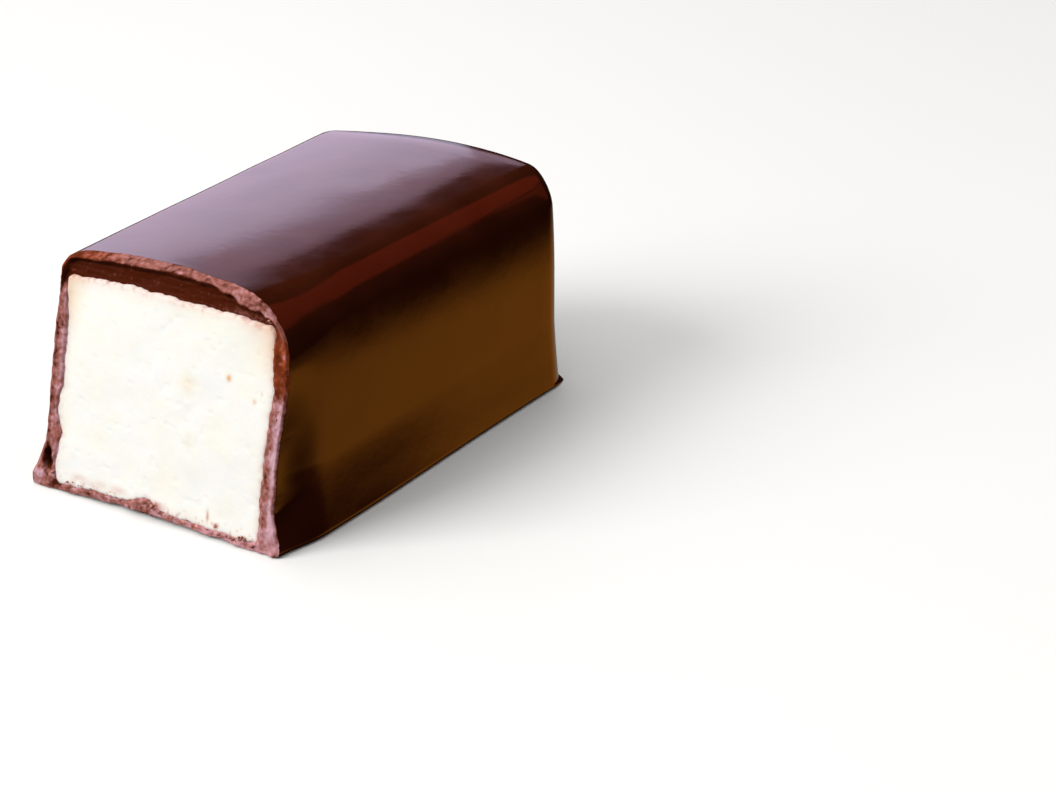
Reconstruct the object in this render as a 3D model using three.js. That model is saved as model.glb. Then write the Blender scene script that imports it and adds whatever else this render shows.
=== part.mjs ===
import * as THREE from 'three';

// A chocolate bar cut across, standing on its flat base: a coat, open at the cut, around a souffle filling.
// X runs across the candy, Y from the cut to the far end, Z up. All sizes are in millimetres.

// The block before it is shaped
const RIGHT = 11.0;            // right wall, from the middle
const LEFT = 10.6;             // left wall at the top, from the middle
const SHOULDER = 18.78;        // height of the long top edges
const LENGTH = 37.5;           // from the top edge of the cut to the far end
const RADIUS_RIGHT = 2.7;      // long top edge on the right
const RADIUS_RIGHT_CUT = 3.7;  // the same edge where it meets the cut
const RADIUS_LEFT = 1.35;      // long top edge on the left
const RADIUS_BASE = 0.45;      // edges round the base

// The far end's rounded edges
const END_TOP = 2.2;
const END_SIDE = 2.7;
const END_BASE = 0.6;

// How the poured coat departs from a block
const CROWN = 0.94;            // rise of the top between its long edges
const LEFT_TAPER = 1.4;        // the left wall leans out by this much towards the base
const LEFT_SPREAD = 1.45;      // the left wall runs outwards by this much towards the far end
const END_BOW = 0.012;         // curvature of the far end, seen from above
const CUT_LEAN = 2.84;         // the cut's bottom edge stands this far in front of its top edge
const FRONT_LIFT = 0.3;        // the broken lower edge of the cut stands this far above the base
const SQUEEZE = 0.66;          // the cut pressed the lower right wall in by this much
const WAIST = 0.3;             // and pinched it by this much above its foot
const LEFT_BELLY = 0.16;       // the left wall swells by this much in its middle
const WALL_BELLY = 0.33;       // the right wall swells by this much below its middle

// The foot, where the chocolate spread before it set
const FOOT_HEIGHT = 6.0;
const FOOT_LEFT = 1.15;
const FOOT_LEFT_HEIGHT = 4.5;
const FOOT_TUCK = 0.2;         // the left foot's edge curls in by this much under it
const FOOT_RIGHT = 0.25;
const FOOT_RIGHT_BULGE = 0.45;
const FOOT_END = 0.5;

// The filling's room inside the coat
const ROOM = { left: -10.15, right: 9.65, bottom: 0.85, top: 17.0 };
const ROOM_LENGTH = 36.0;
const ROOM_TAPER = 0.45;
const ROOM_CROWN = 0.55;
const ROOM_LEAN = 0.5;         // the right inner wall leans in by this much towards the base
const GAP = 0.3;               // between the filling and the coat

// Marks of the break
const EDGE_ROUNDING = 0.16;    // depth of the rounding of the broken outer edge
const BEVEL = 0.75;            // along the top, the broken edge slopes back by this much
const HOLLOW_DEPTH = 0.5;      // the thick top layer broke away inwards under a thin lip
const RAGGED = 0.1;            // unevenness of the line between coat and filling
const BUMP = { x: -1.7, width: 1.1, height: 0.7 };  // chocolate pushed up into the filling
const PIT = { x: -11.4, z: 2.3, width: 0.36, height: 0.8, depth: 0.9 };  // small hole at the left foot

// Points round a section: half of the bottom, a side, the top, a corner
const COAT_COUNTS = { bottom: 13, side: 18, top: 20, corner: 4 };
const FILLING_COUNTS = { bottom: 10, side: 13, top: 16, corner: 3 };

const clamp01 = (t) => Math.min(1, Math.max(0, t));
const mix = (a, b, t) => a + (b - a) * t;

function smooth(a, b, v) {
  const t = clamp01((v - a) / (b - a));
  return t * t * (3 - 2 * t);
}

// An even unevenness between -1 and 1, for broken edges
function ripple(s, k) {
  return 0.5 * Math.sin(1.9 * s + 2.3 * k)
    + 0.3 * Math.sin(4.7 * s + 1.1 * k + 0.8)
    + 0.2 * Math.sin(9.3 * s + 3.7 * k + 2.1);
}

// A smooth hump: 1 in its middle, 0 far from it
function hump(u, v = 0) {
  return Math.exp(-u * u - v * v);
}

// A rounded box section, from the bottom centre up the right side, over the top and down the left side.
// Each point knows which rounded edge of the far end it runs into: bottom, side or top.
function outline(box, radii, counts) {
  const points = [];
  const line = (x0, z0, x1, z1, n, edge) => {
    for (let i = 0; i < n; i += 1) {
      const t = i / n;
      points.push({ x: mix(x0, x1, t), z: mix(z0, z1, t), from: edge, to: edge, t });
    }
  };
  const corner = (cx, cz, r, quarter, from, to) => {
    for (let i = 0; i < counts.corner; i += 1) {
      const t = i / counts.corner;
      const a = (quarter + t) * Math.PI / 2;
      points.push({ x: cx + r * Math.cos(a), z: cz + r * Math.sin(a), from, to, t });
    }
  };
  const { left, right, bottom, top } = box;
  const { base, topRight, topLeft } = radii;
  const middle = (left + right) / 2;
  line(middle, bottom, right - base, bottom, counts.bottom, 'bottom');
  corner(right - base, bottom + base, base, -1, 'bottom', 'side');
  line(right, bottom + base, right, top - topRight, counts.side, 'side');
  corner(right - topRight, top - topRight, topRight, 0, 'side', 'top');
  line(right - topRight, top, left + topLeft, top, counts.top, 'top');
  corner(left + topLeft, top - topLeft, topLeft, 1, 'top', 'side');
  line(left, top - topLeft, left, bottom + base, counts.side, 'side');
  corner(left + base, bottom + base, base, 2, 'side', 'bottom');
  line(left + base, bottom, middle, bottom, counts.bottom, 'bottom');
  return points;
}

// Rings from the cut to the middle of the far end, which is rounded along its edges
function block({ box, radii, end, length, counts, along, round, cap }) {
  const rings = [];
  const rounding = (p) => mix(end[p.from], end[p.to], p.t);
  for (let j = 0; j <= along; j += 1) {
    const t = j / along;
    const section = outline(box, radii(t * length), counts);
    rings.push(section.map((p) => [p.x, t * (length - rounding(p)), p.z]));
  }
  for (let j = 1; j <= round; j += 1) {
    const a = (Math.PI / 2) * (j / round);
    const inset = 1 - Math.cos(a);
    const smaller = {
      left: box.left + end.side * inset,
      right: box.right - end.side * inset,
      bottom: box.bottom + end.bottom * inset,
      top: box.top - end.top * inset,
    };
    const section = outline(smaller, radii(length), counts);
    rings.push(section.map((p) => [p.x, length - rounding(p) * (1 - Math.sin(a)), p.z]));
  }
  const last = rings[rings.length - 1];
  const middle = [(box.left + box.right) / 2, length, (box.bottom + box.top) / 2];
  for (let j = 1; j < cap; j += 1) {
    rings.push(last.map((p) => p.map((v, k) => mix(v, middle[k], j / cap))));
  }
  rings.push([middle]);
  return rings;
}

// The coat's own shape: its spread foot, and its walls where the cut pressed them or they swell
function spreadCoat([x0, y0, z0]) {
  const push = Math.pow(clamp01(1 - z0 / FOOT_HEIGHT), 1.25);
  const side = Math.min(1.7, Math.abs(x0 / RIGHT) ** 3);
  const leftFoot = FOOT_LEFT * (0.87 + 0.09 * Math.sin(0.42 * y0 + 1.3) + 0.05 * Math.sin(1.03 * y0));
  const leftPush = leftFoot * Math.pow(clamp01(1 - z0 / FOOT_LEFT_HEIGHT), 1.25)
    - FOOT_TUCK * (1 - smooth(0, 1, z0));
  const rightPush = (FOOT_RIGHT + FOOT_RIGHT_BULGE * hump((y0 - 8) / 14)) * push;
  let x = x0 + (x0 < 0 ? -leftPush : rightPush) * side;
  const y = y0 + FOOT_END * push * smooth(LENGTH - 6, LENGTH, y0);
  const nearCut = clamp01(1 - y / 1.5) ** 2;
  const z = z0 + FRONT_LIFT * clamp01(1 - z0 / 3) * nearCut * clamp01(1 - ((x + 1) / 10) ** 2);
  const pinch = SQUEEZE * (1 - smooth(7, 14.5, z)) + WAIST * hump((z - 3.3) / 1.4);
  x -= pinch * smooth(6, 11, x) * (1 - smooth(0, 4.5, y));
  x -= LEFT_BELLY * hump((z - 11) / 4) * smooth(-7, -10, x);
  x += WALL_BELLY * smooth(8, 11, x) * (1 - (Math.max(z - 10, 0) / 6.1) ** 2);
  return [x, y, z];
}

// The filling's own shape: its uneven line at the cut, and its right side, which leans in towards the base
function unevenRoom([x0, y, z0]) {
  const nearCut = clamp01(1 - y / 4);
  const bump = BUMP.height * hump((x0 - BUMP.x) / BUMP.width) * (1 - smooth(1.2, 3, z0));
  const sunkLow = 0.3 * (1 - smooth(-10.5, -6.5, x0)) + 0.2 * smooth(-1, 7, x0);
  const sunk = sunkLow * (1 - smooth(1.2, 3, z0)) + 0.2 * smooth(14, 16, z0) * hump((x0 - 1.8) / 4);
  const z = z0 + nearCut * (RAGGED * 0.8 * ripple(x0, 1) + bump - sunk);
  let x = x0 + nearCut * RAGGED * 0.8 * ripple(z, 4);
  const thicker = 0.3 * smooth(7.5, 8.5, z) * (1 - 0.8 * smooth(14, 16, z)) + 0.3 * hump((z - 4.6) / 0.9);
  const thinner = 0.2 * hump((z - 6.3) / 0.7) + 0.2 * hump((z - 2) / 0.8);
  x += nearCut * (thicker - thinner) * (1 - smooth(-8, -5, x));
  x += nearCut * (0.3 * hump((z - 12.2) / 2) - 0.15 * hump((z - 4) / 3)) * smooth(5, 8, x);
  x -= ROOM_LEAN * clamp01(x / ROOM.right) * (1 - clamp01(z / 15));
  return [x, y, z];
}

// Bends a point of a plain block into the candy's shape; own is what only the coat or the filling has
function shaped([x0, y0, z0], taper, crown, own) {
  const along = clamp01(y0 / LENGTH);
  const leftness = clamp01(-x0 / LEFT);
  const dome = (1 - (x0 / RIGHT) ** 2) * smooth(SHOULDER * 0.55, SHOULDER, z0);
  const up = z0 + crown * dome * (1 - 0.35 * smooth(LENGTH - 4, LENGTH, y0));
  const across = x0 - leftness * (taper * (1 - up / 19) + LEFT_SPREAD * along);
  const [x, y, z] = own([across, y0, up]);
  const bow = END_BOW * (x - 2.5) ** 2 * along ** 2;
  return [x, y - bow - CUT_LEAN * (1 - z / 19) * (1 - along), z];
}

// Width of the lip along the top of the cut, as a share of the coat's thickness
function lipShare(x) {
  return 0.165 - 0.04 * smooth(-6, 0, x) + 0.37 * smooth(3.2, 8, x) - 0.25 * smooth(8.8, 9.8, x);
}

// How far the broken chocolate at the cut lies behind the cut's plane, t from the outer edge to the filling
function fracture(x, z, t) {
  const top = smooth(15.6, 17.4, z);
  const lip = lipShare(x);
  const rounding = EDGE_ROUNDING * (1 - smooth(0, 0.06 + 0.1 * (1 - top), t));
  const across = smooth(-10, -8.6, x) * (1 - 0.35 * smooth(0.5, 3.5, x) - 0.55 * smooth(5.3, 7.8, x));
  const bevel = BEVEL * top * across * clamp01(1 - t / lip);
  const hollow = HOLLOW_DEPTH * top * smooth(lip, lip + 0.25, t);
  const pit = PIT.depth * clamp01(1.3 * hump((x - PIT.x) / PIT.width, (z - PIT.z) / PIT.height) - 0.15);
  const uneven = 0.06 * ripple(x + z, 6 * t);
  const inner = (x < 0 ? 0.22 : 0.14) * (1 - top) * smooth(0.8, 1, t);
  return rounding + bevel + hollow + pit + uneven + inner - 0.16;
}

// Rings across the thickness of the coat, from its outer edge at the cut over the lip to its inner one
function rim(outer, inner) {
  const steps = [
    () => 0,
    (lip) => lip / 2,
    (lip) => lip,
    (lip) => lip + 0.25,
    (lip) => (lip + 1.25) / 2,
    () => 1,
  ];
  return steps.map((step) => outer.map((p, i) => {
    const q = inner[i];
    const t = step(lipShare(p[0]));
    const x = mix(p[0], q[0], t);
    const z = mix(p[2], q[2], t);
    return [x, mix(p[1], q[1], t) + fracture(x, z, t), z];
  }));
}

// One closed skin through the rings; the first and last rings are single points
function loft(rings) {
  const positions = rings.flat(2);
  const starts = [];
  let count = 0;
  for (const ring of rings) {
    starts.push(count);
    count += ring.length;
  }
  const faces = [];
  for (let j = 0; j + 1 < rings.length; j += 1) {
    const n = Math.max(rings[j].length, rings[j + 1].length);
    const at = (r, i) => starts[r] + (rings[r].length === 1 ? 0 : i % n);
    for (let i = 0; i < n; i += 1) {
      if (rings[j].length > 1) faces.push(at(j, i), at(j, i + 1), at(j + 1, i));
      if (rings[j + 1].length > 1) faces.push(at(j, i + 1), at(j + 1, i + 1), at(j + 1, i));
    }
  }
  const geometry = new THREE.BufferGeometry();
  geometry.setAttribute('position', new THREE.Float32BufferAttribute(positions, 3));
  geometry.setIndex(faces);
  geometry.computeVertexNormals();
  return geometry;
}

const CAVITY_RADII = { base: 0.4, topRight: 0.6, topLeft: 0.5 };

function coatGeometry() {
  const outer = block({
    box: { left: -LEFT, right: RIGHT, bottom: 0, top: SHOULDER },
    radii: (y) => ({
      base: RADIUS_BASE,
      topRight: mix(RADIUS_RIGHT_CUT, RADIUS_RIGHT, smooth(0, 9, y)),
      topLeft: RADIUS_LEFT,
    }),
    end: { bottom: END_BASE, side: END_SIDE, top: END_TOP },
    length: LENGTH,
    counts: COAT_COUNTS,
    along: 16,
    round: 6,
    cap: 4,
  }).map((ring) => ring.map((p) => shaped(p, LEFT_TAPER, CROWN, spreadCoat)));
  const inner = block({
    box: ROOM,
    radii: () => CAVITY_RADII,
    end: { bottom: 0.6, side: 1.0, top: 0.8 },
    length: ROOM_LENGTH,
    counts: COAT_COUNTS,
    along: 5,
    round: 2,
    cap: 2,
  }).map((ring) => ring.map((p) => shaped(p, ROOM_TAPER, ROOM_CROWN, unevenRoom)));
  const broken = rim(outer[0], inner[0]);
  return loft([...outer.slice(1).reverse(), ...broken, ...inner.slice(1)]);
}

function fillingGeometry() {
  const box = {
    left: ROOM.left + GAP,
    right: ROOM.right - GAP,
    bottom: ROOM.bottom + GAP,
    top: ROOM.top - GAP,
  };
  const rings = block({
    box,
    radii: () => CAVITY_RADII,
    end: { bottom: 0.6, side: 1.0, top: 0.8 },
    length: ROOM_LENGTH - GAP,
    counts: FILLING_COUNTS,
    along: 5,
    round: 2,
    cap: 3,
  }).map((ring) => ring.map((p) => shaped(p, ROOM_TAPER, ROOM_CROWN, unevenRoom)));
  const edge = rings[0];
  const middle = edge.reduce((sum, p) => sum.map((v, k) => v + p[k] / edge.length), [0, 0, 0]);
  const face = [0.94, 0.8, 0.6, 0.4, 0.2].map((t) => edge.map((p) => {
    const [x, y, z] = p.map((v, k) => mix(middle[k], v, t));
    return [x, y + 0.06 * ripple(0.5 * x, 0.3 * z), z];
  }));
  return loft([...rings.slice(1).reverse(), edge, ...face, [middle]]);
}

function named(name, geometry, color, roughness) {
  const mesh = new THREE.Mesh(geometry, new THREE.MeshStandardMaterial({ color, roughness }));
  mesh.name = name;
  return mesh;
}

const candy = new THREE.Group();
candy.name = 'birds_milk_candy';
candy.add(named('chocolate_coat', coatGeometry(), '#3a1a10', 0.35));
candy.add(named('souffle_filling', fillingGeometry(), '#fbf6e9', 0.8));

// The origin is the middle of the base
const bounds = new THREE.Box3().setFromObject(candy);
const middle = bounds.getCenter(new THREE.Vector3());
for (const mesh of candy.children) {
  mesh.geometry.translate(-middle.x, -middle.y, -bounds.min.z);
}

export default candy;
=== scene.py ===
"""Looks of a birds milk candy: a bar of whipped souffle in a poured chocolate coat, cut across at one end.

The form is worked out in millimetres, in a frame of its own: X runs across the candy, Y from the top edge
of the cut to the far end, and Z up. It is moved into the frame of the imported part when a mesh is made.
"""

import math

import bpy
import numpy as np
from bpy.props import FloatProperty, FloatVectorProperty, IntProperty, PointerProperty
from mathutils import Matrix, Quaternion, Vector


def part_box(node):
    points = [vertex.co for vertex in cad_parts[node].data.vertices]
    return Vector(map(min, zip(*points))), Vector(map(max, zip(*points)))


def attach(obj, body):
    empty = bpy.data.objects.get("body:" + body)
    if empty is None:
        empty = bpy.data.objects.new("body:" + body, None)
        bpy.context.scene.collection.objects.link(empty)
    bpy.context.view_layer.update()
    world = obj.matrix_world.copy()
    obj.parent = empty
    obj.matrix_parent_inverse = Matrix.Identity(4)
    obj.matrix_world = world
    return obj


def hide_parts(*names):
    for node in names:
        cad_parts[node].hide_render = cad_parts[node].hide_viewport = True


bl_info = {
    "name": "Cut Souffle Candy",
    "version": (1, 0, 0),
    "blender": (4, 5, 0),
    "location": "View3D > Sidebar > Candy",
    "description": "Builds a chocolate-coated souffle candy, cut across, with crumbs and a stage",
    "category": "Add Mesh",
}

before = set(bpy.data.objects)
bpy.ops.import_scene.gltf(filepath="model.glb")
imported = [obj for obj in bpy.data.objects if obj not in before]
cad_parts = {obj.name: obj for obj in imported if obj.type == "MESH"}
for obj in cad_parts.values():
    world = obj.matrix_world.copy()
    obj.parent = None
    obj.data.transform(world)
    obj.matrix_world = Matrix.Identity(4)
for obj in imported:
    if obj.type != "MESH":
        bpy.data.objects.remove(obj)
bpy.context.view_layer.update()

MM = 0.001
TAU = 2 * math.pi

# --------------------------------------------------------------------------------------------------
# The candy's form, in millimetres
# --------------------------------------------------------------------------------------------------

# The block before it is shaped
RIGHT = 11.0  # right wall, from the middle
LEFT = 10.6  # left wall at the top, from the middle
SHOULDER = 18.78  # height of the long top edges
LENGTH = 37.5  # from the top edge of the cut to the far end
RADIUS_RIGHT = 2.7  # long top edge on the right
RADIUS_RIGHT_CUT = 3.7  # the same edge where it meets the cut
RADIUS_LEFT = 1.35  # long top edge on the left
RADIUS_BASE = 0.45  # edges round the base
END_EDGES = {"bottom": 0.6, "side": 2.7, "top": 2.2}  # rounding of the far end

# How the poured coat departs from a block
CROWN = 0.94  # rise of the top between its long edges
LEFT_TAPER = 1.4  # the left wall leans out by this much towards the base
LEFT_SPREAD = 1.45  # the left wall runs outwards by this much towards the far end
END_BOW = 0.012  # curvature of the far end, seen from above
CUT_LEAN = 2.84  # the cut's bottom edge stands this far in front of its top edge
LEAN_HEIGHT = 19  # the leans of the left wall and the cut are measured over this height
FRONT_LIFT = 0.3  # the broken lower edge of the cut stands this far above the base
SQUEEZE = 0.66  # the cut pressed the lower right wall in by this much
WAIST = 0.3  # and pinched it by this much above its foot
LEFT_BELLY = 0.16  # the left wall swells by this much in its middle
WALL_BELLY = 0.33  # the right wall swells by this much below its middle

# The foot, where the chocolate spread before it set
FOOT_HEIGHT = 6.0  # on the right and at the far end
FOOT_LEFT = 1.15  # it runs out by this much on the left
FOOT_LEFT_HEIGHT = 4.5
FOOT_TUCK = 0.2  # the left foot's edge curls in by this much under it
FOOT_RIGHT = 0.25  # it runs out by this much on the right
FOOT_RIGHT_BULGE = 0.45  # and by this much more towards the cut
FOOT_END = 0.5  # it runs out by this much at the far end

# The filling's room inside the coat
ROOM = (-10.15, 9.65, 0.85, 17.0)  # left, right, bottom, top
ROOM_LENGTH = 36.0
ROOM_EDGES = {"bottom": 0.6, "side": 1.0, "top": 0.8}
ROOM_RADII = (0.4, 0.6, 0.5)  # base, top right, top left
ROOM_TAPER = 0.45
ROOM_CROWN = 0.55
ROOM_LEAN = 0.5  # the right inner wall leans in by this much towards the base

# Points round a section: half of the bottom, a side, the top, and the corners at base, top right, top left
COUNTS = (100, 130, 150, 8, 46, 18)


def smooth(a, b, v):
    """0 before a, 1 after b, and an even step between them."""
    t = np.clip((v - a) / (b - a), 0, 1)
    return t * t * (3 - 2 * t)


def hump(u, v=0.0):
    """1 where u and v are 0, fading to 0 around it."""
    return np.exp(-(u**2) - v**2)


def spot(x, z, px, pz, wide, high):
    """1 in the middle of a spot at px, pz, fading to 0 over its half width and half height."""
    return hump((x - px) / wide, (z - pz) / high)


def relief(points, grain, seed):
    """Smooth random heights between -1 and 1; a grain is one length, or one for each axis."""
    cell = points / np.asarray(grain, float)
    low = np.floor(cell).astype(np.int64)
    part = cell - low
    blend = part * part * (3 - 2 * part)
    steps = np.array([73856093, 19349663, 83492791])
    total = np.zeros(len(cell))
    # Each corner of a cell gets its height by mixing the bits of its whole-number place
    for corner in np.ndindex(2, 2, 2):
        mixed = ((low + corner) @ steps + seed * 2654435761) & 0xFFFFFFFF
        mixed = ((mixed ^ (mixed >> 15)) * 2246822519) & 0xFFFFFFFF
        mixed = ((mixed ^ (mixed >> 13)) * 3266489917) & 0xFFFFFFFF
        height = ((mixed ^ (mixed >> 16)) & 0xFFFF) / 32767.5 - 1
        total += height * np.prod(np.where(corner, blend, 1 - blend), axis=1)
    return total


def rough(points, grain, seed, octaves=3):
    """Relief with finer relief on it, each octave half as high and half as wide."""
    grain = np.asarray(grain, float)
    layers = [relief(points, grain / 2**k, seed + k) / 2**k for k in range(octaves)]
    return sum(layers) / (2 - 2 ** (1 - octaves))


def outline(box, radii, edges):
    """A rounded box section, from the bottom centre up the right side, over the top and down the left side.

    Each row holds x, z and the radius of the rounded edge of the far end that the point runs into.
    """
    left, right, bottom, top = box
    base, top_right, top_left = radii
    half, side, across, at_base, at_right, at_left = COUNTS
    middle = (left + right) / 2
    rows = []

    def line(x0, z0, x1, z1, count, edge):
        t = np.arange(count) / count
        rows.append(np.stack([x0 + (x1 - x0) * t, z0 + (z1 - z0) * t, np.full(count, edges[edge])], 1))

    def corner(cx, cz, radius, quarter, count, start, end):
        t = np.arange(count) / count
        angle = (quarter + t) * TAU / 4
        edge = edges[start] + (edges[end] - edges[start]) * t
        rows.append(np.stack([cx + radius * np.cos(angle), cz + radius * np.sin(angle), edge], 1))

    line(middle, bottom, right - base, bottom, half, "bottom")
    corner(right - base, bottom + base, base, -1, at_base, "bottom", "side")
    line(right, bottom + base, right, top - top_right, side, "side")
    corner(right - top_right, top - top_right, top_right, 0, at_right, "side", "top")
    line(right - top_right, top, left + top_left, top, across, "top")
    corner(left + top_left, top - top_left, top_left, 1, at_left, "top", "side")
    line(left, top - top_left, left, bottom + base, side, "side")
    corner(left + base, bottom + base, base, 2, at_base, "side", "bottom")
    line(left + base, bottom, middle, bottom, half, "bottom")
    return np.concatenate(rows)


def block(box, radii_at, edges, length, stations, rounding, cap):
    """Rings from the cut to the far end, whose edges are rounded, and the middle point of that end."""
    rings = []
    for share in stations:
        section = outline(box, radii_at(share * length), edges)
        rings.append(np.stack([section[:, 0], share * (length - section[:, 2]), section[:, 1]], 1))
    left, right, bottom, top = box
    for step in range(1, rounding + 1):
        angle = TAU / 4 * step / rounding
        inset = 1 - math.cos(angle)
        side, low, high = (edges[k] * inset for k in ("side", "bottom", "top"))
        smaller = (left + side, right - side, bottom + low, top - high)
        section = outline(smaller, radii_at(length), edges)
        along = length - section[:, 2] * (1 - math.sin(angle))
        rings.append(np.stack([section[:, 0], along, section[:, 1]], 1))
    middle = np.array([(left + right) / 2, length, (bottom + top) / 2])
    last = rings[-1]
    rings += [last + (middle - last) * step / cap for step in range(1, cap)]
    return [*rings, middle[None]]


def lean(points, taper, crown):
    """The shape that coat and filling share: a crowned top and walls that lean and spread."""
    x, y, z = points.T
    along = np.clip(y / LENGTH, 0, 1)
    leftness = np.clip(-x / LEFT, 0, 1)
    dome = (1 - (x / RIGHT) ** 2) * smooth(SHOULDER * 0.55, SHOULDER, z)
    up = z + crown * dome * (1 - 0.35 * smooth(LENGTH - 4, LENGTH, y))
    across = x - leftness * (taper * (1 - up / LEAN_HEIGHT) + LEFT_SPREAD * along)
    return across, y, up, along


def settle(across, y, up, along):
    """Bows the far end and slopes the cut, which comes last, so that it stays plane."""
    bow = END_BOW * (across - 2.5) ** 2 * along**2
    forward = bow + CUT_LEAN * (1 - up / LEAN_HEIGHT) * (1 - along)
    return np.stack([across, y - forward, up], 1)


def coat_form(points):
    """Bends a point of the outer block into the poured coat with its spread foot."""
    x, y, z, along = lean(points, LEFT_TAPER, CROWN)
    push = np.clip(1 - z / FOOT_HEIGHT, 0, 1) ** 1.25
    side = np.minimum(1.7, np.abs(x / RIGHT) ** 3)
    left_foot = FOOT_LEFT * (0.87 + 0.09 * np.sin(0.42 * y + 1.3) + 0.05 * np.sin(1.03 * y))
    left_push = left_foot * np.clip(1 - z / FOOT_LEFT_HEIGHT, 0, 1) ** 1.25
    left_push = left_push - FOOT_TUCK * (1 - smooth(0, 1, z))
    right_foot = FOOT_RIGHT + FOOT_RIGHT_BULGE * hump((y - 8) / 14)
    x = x + np.where(x < 0, -left_push, right_foot * push) * side
    y = y + FOOT_END * push * smooth(LENGTH - 6, LENGTH, y)
    near_cut = np.clip(1 - y / 1.5, 0, 1) ** 2
    z = z + FRONT_LIFT * np.clip(1 - z / 3, 0, 1) * near_cut * np.clip(1 - ((x + 1) / 10) ** 2, 0, 1)
    pinch = SQUEEZE * (1 - smooth(7, 14.5, z)) + WAIST * hump((z - 3.3) / 1.4)
    x = x - pinch * smooth(6, 11, x) * (1 - smooth(0, 4.5, y))
    x = x - LEFT_BELLY * hump((z - 11) / 4) * smooth(-7, -10, x)
    x = x + WALL_BELLY * smooth(8, 11, x) * (1 - (np.maximum(z - 10, 0) / 6.1) ** 2)
    return settle(x, y, z, along)


# --------------------------------------------------------------------------------------------------
# The break at the cut and the surfaces' own relief, in millimetres
# --------------------------------------------------------------------------------------------------

EDGE_ROUNDING = 0.16  # depth of the rounding of the broken outer edge
BEVEL = 0.75  # along the top, the broken edge slopes back by this much
HOLLOW_DEPTH = 0.5  # the thick top layer broke away inwards under a thin lip
RAGGED = 0.1  # unevenness of the line between coat and filling
EDGE_CHIPS = 0.12  # chips out of the outer edge
BUMP = (-1.7, 1.1, 0.7)  # chocolate pushed up into the filling: place across, width, height
PIT = (-11.4, 2.3, 0.36, 0.8)  # hole at the left foot: x, z, half width, half height
PIT_DEPTH = 0.9
POUR_WAVES = 0.05  # slow unevenness of the poured surface
FILLING_REACH = 0.05  # the filling goes this far into the coat, so that no gap shows between them
FILLING_PROUD = 0.03  # its cut face stands this far in front of the cut

# Thin, see-through shards of the coat at the cut, where an amber glow of light through them is painted: x,
# z, half width, half height
AMBER_SHARDS = (
    (9.75, 15.6, 0.25, 0.9),
    (10.75, 14.75, 0.18, 0.5),
    (10.55, 15.7, 0.15, 0.35),
    (-10.4, 4.5, 0.22, 0.8),
    (-10.5, 18.05, 0.4, 0.45),
    (9.9, 17.0, 0.3, 0.3),
)
# Dark and pale spots on the broken coat, some of the pale ones painted glints: x, z, half width, half
# height, and how much paler than the rest
WALL_SPOTS = (
    (-10.85, 12.75, 0.22, 0.75, -0.35),
    (-10.5, 13.5, 0.4, 0.45, -0.25),
    (-11.2, 7.3, 0.5, 0.5, -0.25),
    (-10.5, 16.2, 0.4, 1.0, -0.15),
    (-10.9, 1.2, 0.35, 0.3, 0.35),
    (-12.2, 1.1, 0.5, 0.35, 0.8),
    (-10.6, 0.6, 0.7, 0.3, -0.4),
    (-2.0, 0.7, 0.9, 0.5, -0.15),
    (7.8, 0.4, 1.8, 0.5, 0.15),
    (10.57, 10.7, 0.16, 0.22, 0.7),
    (10.15, 10.6, 0.12, 0.25, 0.2),
    (10.35, 7.7, 0.35, 0.6, 0.45),
    (10.0, 5.4, 0.7, 0.6, -0.1),
    (10.1, 2.0, 0.5, 1.5, 0.2),
    (10.4, 0.95, 0.4, 0.4, 0.2),
    (8.8, 17.95, 0.4, 0.22, 0.5),
    (7.6, 18.2, 0.5, 0.15, 0.4),
    (10.72, 15.3, 0.1, 0.25, 0.8),
)
# Marks on the filling: x, z, half width, half height, strength
CARAMEL_MARKS = (
    (5.72, 12.64, 0.22, 0.26, 0.9),
    (1.9, 11.2, 0.7, 0.9, 0.18),
    (8.13, 11.4, 0.2, 0.24, 0.3),
    (2.2, 7.1, 0.5, 0.7, 0.14),
    (-6.5, 5.2, 0.9, 0.6, 0.1),
)
# Brownish marks: smears from the knife, and along the lower edge on the left a painted shade of a small
# fold
COCOA_AND_SHADE_MARKS = (
    (4.36, 1.65, 0.13, 0.42, 0.75),
    (5.2, 1.1, 0.18, 0.14, 0.6),
    (-8.2, 1.55, 0.8, 0.3, 0.3),
    (-6.17, 1.5, 0.7, 0.3, 0.2),
    (-4.3, 1.5, 0.8, 0.28, 0.33),
    (-0.5, 1.25, 0.7, 0.3, 0.6),
    (8.8, 12.1, 0.1, 0.16, 0.35),
    (8.2, 11.35, 0.12, 0.14, 0.3),
)


def ripple(s, k):
    """An even unevenness between -1 and 1, for broken edges."""
    waves = ((0.5, 1.9, 2.3, 0), (0.3, 4.7, 1.1, 0.8), (0.2, 9.3, 3.7, 2.1))
    return sum(high * np.sin(often * s + turn * k + start) for high, often, turn, start in waves)


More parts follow.
